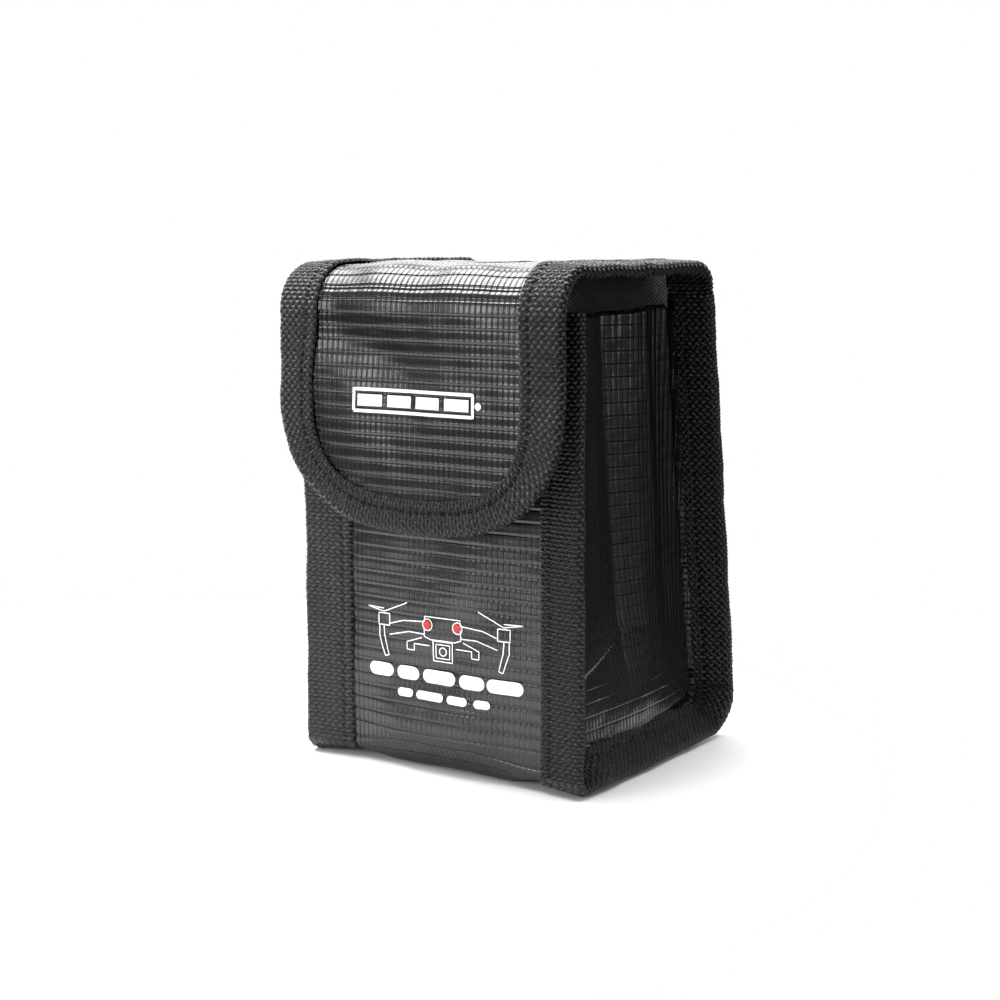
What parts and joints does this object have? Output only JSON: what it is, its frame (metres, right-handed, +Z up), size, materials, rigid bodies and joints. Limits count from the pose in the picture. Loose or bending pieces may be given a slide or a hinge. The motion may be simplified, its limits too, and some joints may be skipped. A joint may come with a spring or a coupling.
{
  "type": "battery safe bag",
  "caption": "Fire-resistant soft bag for one drone battery: a sewn box with creased side gussets, tape-bound seams and a fold-over front flap with a rounded tip.",
  "frame": {"origin": "centre of the bounding box's base, on the surface the bag stands on", "axes": "+Z up, +X across the bag, the front with the flap faces -Y"},
  "size_m": [0.0764, 0.0804, 0.1119],
  "materials": {
    "coated_cloth": "glossy black coated glass cloth with a ribbed grid weave",
    "gusset_cloth": "the same coated cloth, softly pleated",
    "woven_tape": "coarse woven black polypropylene tape",
    "lining": "grey glass cloth with a diagonal weave",
    "hook_tape": "black hook fastener tape",
    "loop_tape": "black loop fastener tape"
  },
  "bodies": {
    "bag": {"back_liner": "lining", "back_panel": "coated_cloth", "bottom_liner": "lining", "bottom_panel": "coated_cloth", "front_liner": "lining", "front_panel": "coated_cloth", "left_back_binding": "woven_tape", "left_bottom_binding": "woven_tape", "left_front_binding": "woven_tape", "left_gusset": "gusset_cloth", "left_gusset_liner": "lining", "loop_patch": "loop_tape", "mouth_binding": "woven_tape", "right_back_binding": "woven_tape", "right_bottom_binding": "woven_tape", "right_front_binding": "woven_tape", "right_gusset": "gusset_cloth", "right_gusset_liner": "lining"},
    "flap_top": {"flap_top_panel": "coated_cloth", "flap_top_liner": "lining", "flap_left_binding": "woven_tape", "flap_right_binding": "woven_tape"},
    "flap_front": {"flap_front_panel": "coated_cloth", "flap_front_liner": "lining", "flap_edge_binding": "woven_tape", "hook_patch": "hook_tape"}
  },
  "joints": [
    {"name": "flap_lift", "type": "hinge", "parent": "bag", "child": "flap_top", "pos_m": [0, 0.02409, 0.11191], "axis": [-1, 0, 0], "range_deg": [0, 245]},
    {"name": "flap_unfold", "type": "hinge", "parent": "flap_top", "child": "flap_front", "pos_m": [0, -0.03612, 0.10792], "axis": [-1, 0, 0], "range_deg": [0, 90]}
  ]
}
